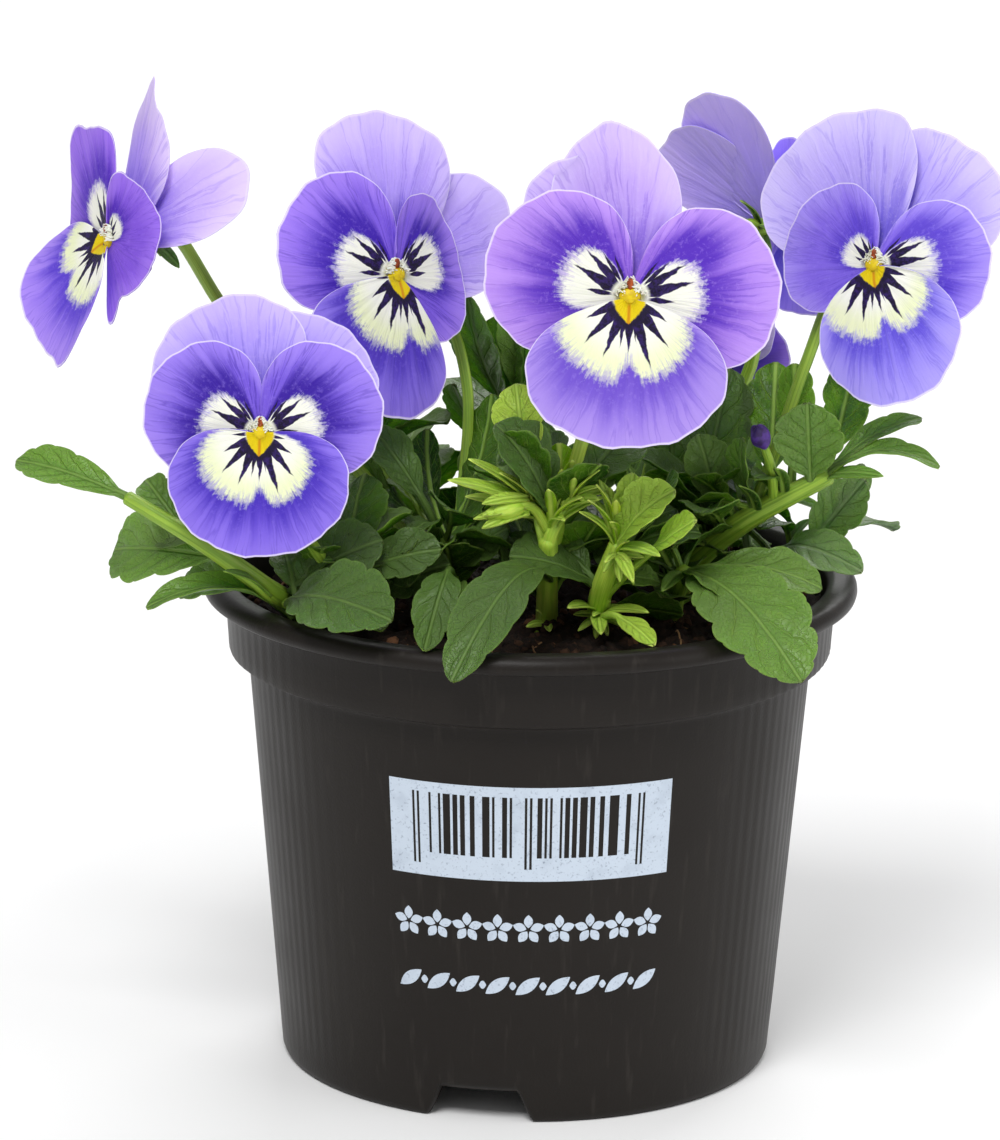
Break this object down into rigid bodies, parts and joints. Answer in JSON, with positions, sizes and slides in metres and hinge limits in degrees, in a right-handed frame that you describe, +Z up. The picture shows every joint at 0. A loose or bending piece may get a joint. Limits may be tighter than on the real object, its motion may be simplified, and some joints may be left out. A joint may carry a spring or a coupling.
{
  "type": "potted pansy planter",
  "caption": "Horned pansies in violet and lilac, with dark-whiskered faces and scalloped leaves, growing in a round black nursery pot of peat.",
  "frame": {"origin": "on the ground, under the middle of the whole planter's bounding box; the pot's axis is 2.8 mm towards +X and 1.15 mm towards +Y from it", "axes": "+Z up along the pot's axis, -Y the front that the picture shows, +X to the right as seen from the front"},
  "size_m": [0.1483, 0.1046, 0.1501],
  "materials": {
    "pot_plastic": "satin",
    "peat": "rough",
    "leaf_green": "satin",
    "leaf_dark_green": "satin",
    "leaf_fresh_green": "satin",
    "leaf_grey_green": "satin",
    "petal_violet": "satin",
    "petal_lilac": "satin",
    "bud_dark_violet": "satin"
  },
  "bodies": {
    "root": {"pot": "pot_plastic", "soil": "peat", "shoot_left": "leaf_green", "shoot_front_left": "leaf_dark_green", "shoot_mid_left": "leaf_dark_green", "shoot_centre": "leaf_fresh_green", "shoot_centre_right": "leaf_fresh_green", "shoot_front_right": "leaf_green", "shoot_right": "leaf_green", "shoot_far_right": "leaf_grey_green", "shoot_back_left": "leaf_green", "shoot_back": "leaf_dark_green", "shoot_back_right": "leaf_green", "bloom_centre": "petal_lilac", "bloom_low_left": "petal_violet", "bloom_left": "petal_violet", "bloom_right": "petal_lilac", "bloom_far_left": "petal_violet", "bloom_back_right": "petal_lilac", "bloom_back": "petal_violet", "bud_violet": "bud_dark_violet"}
  },
  "joints": []
}
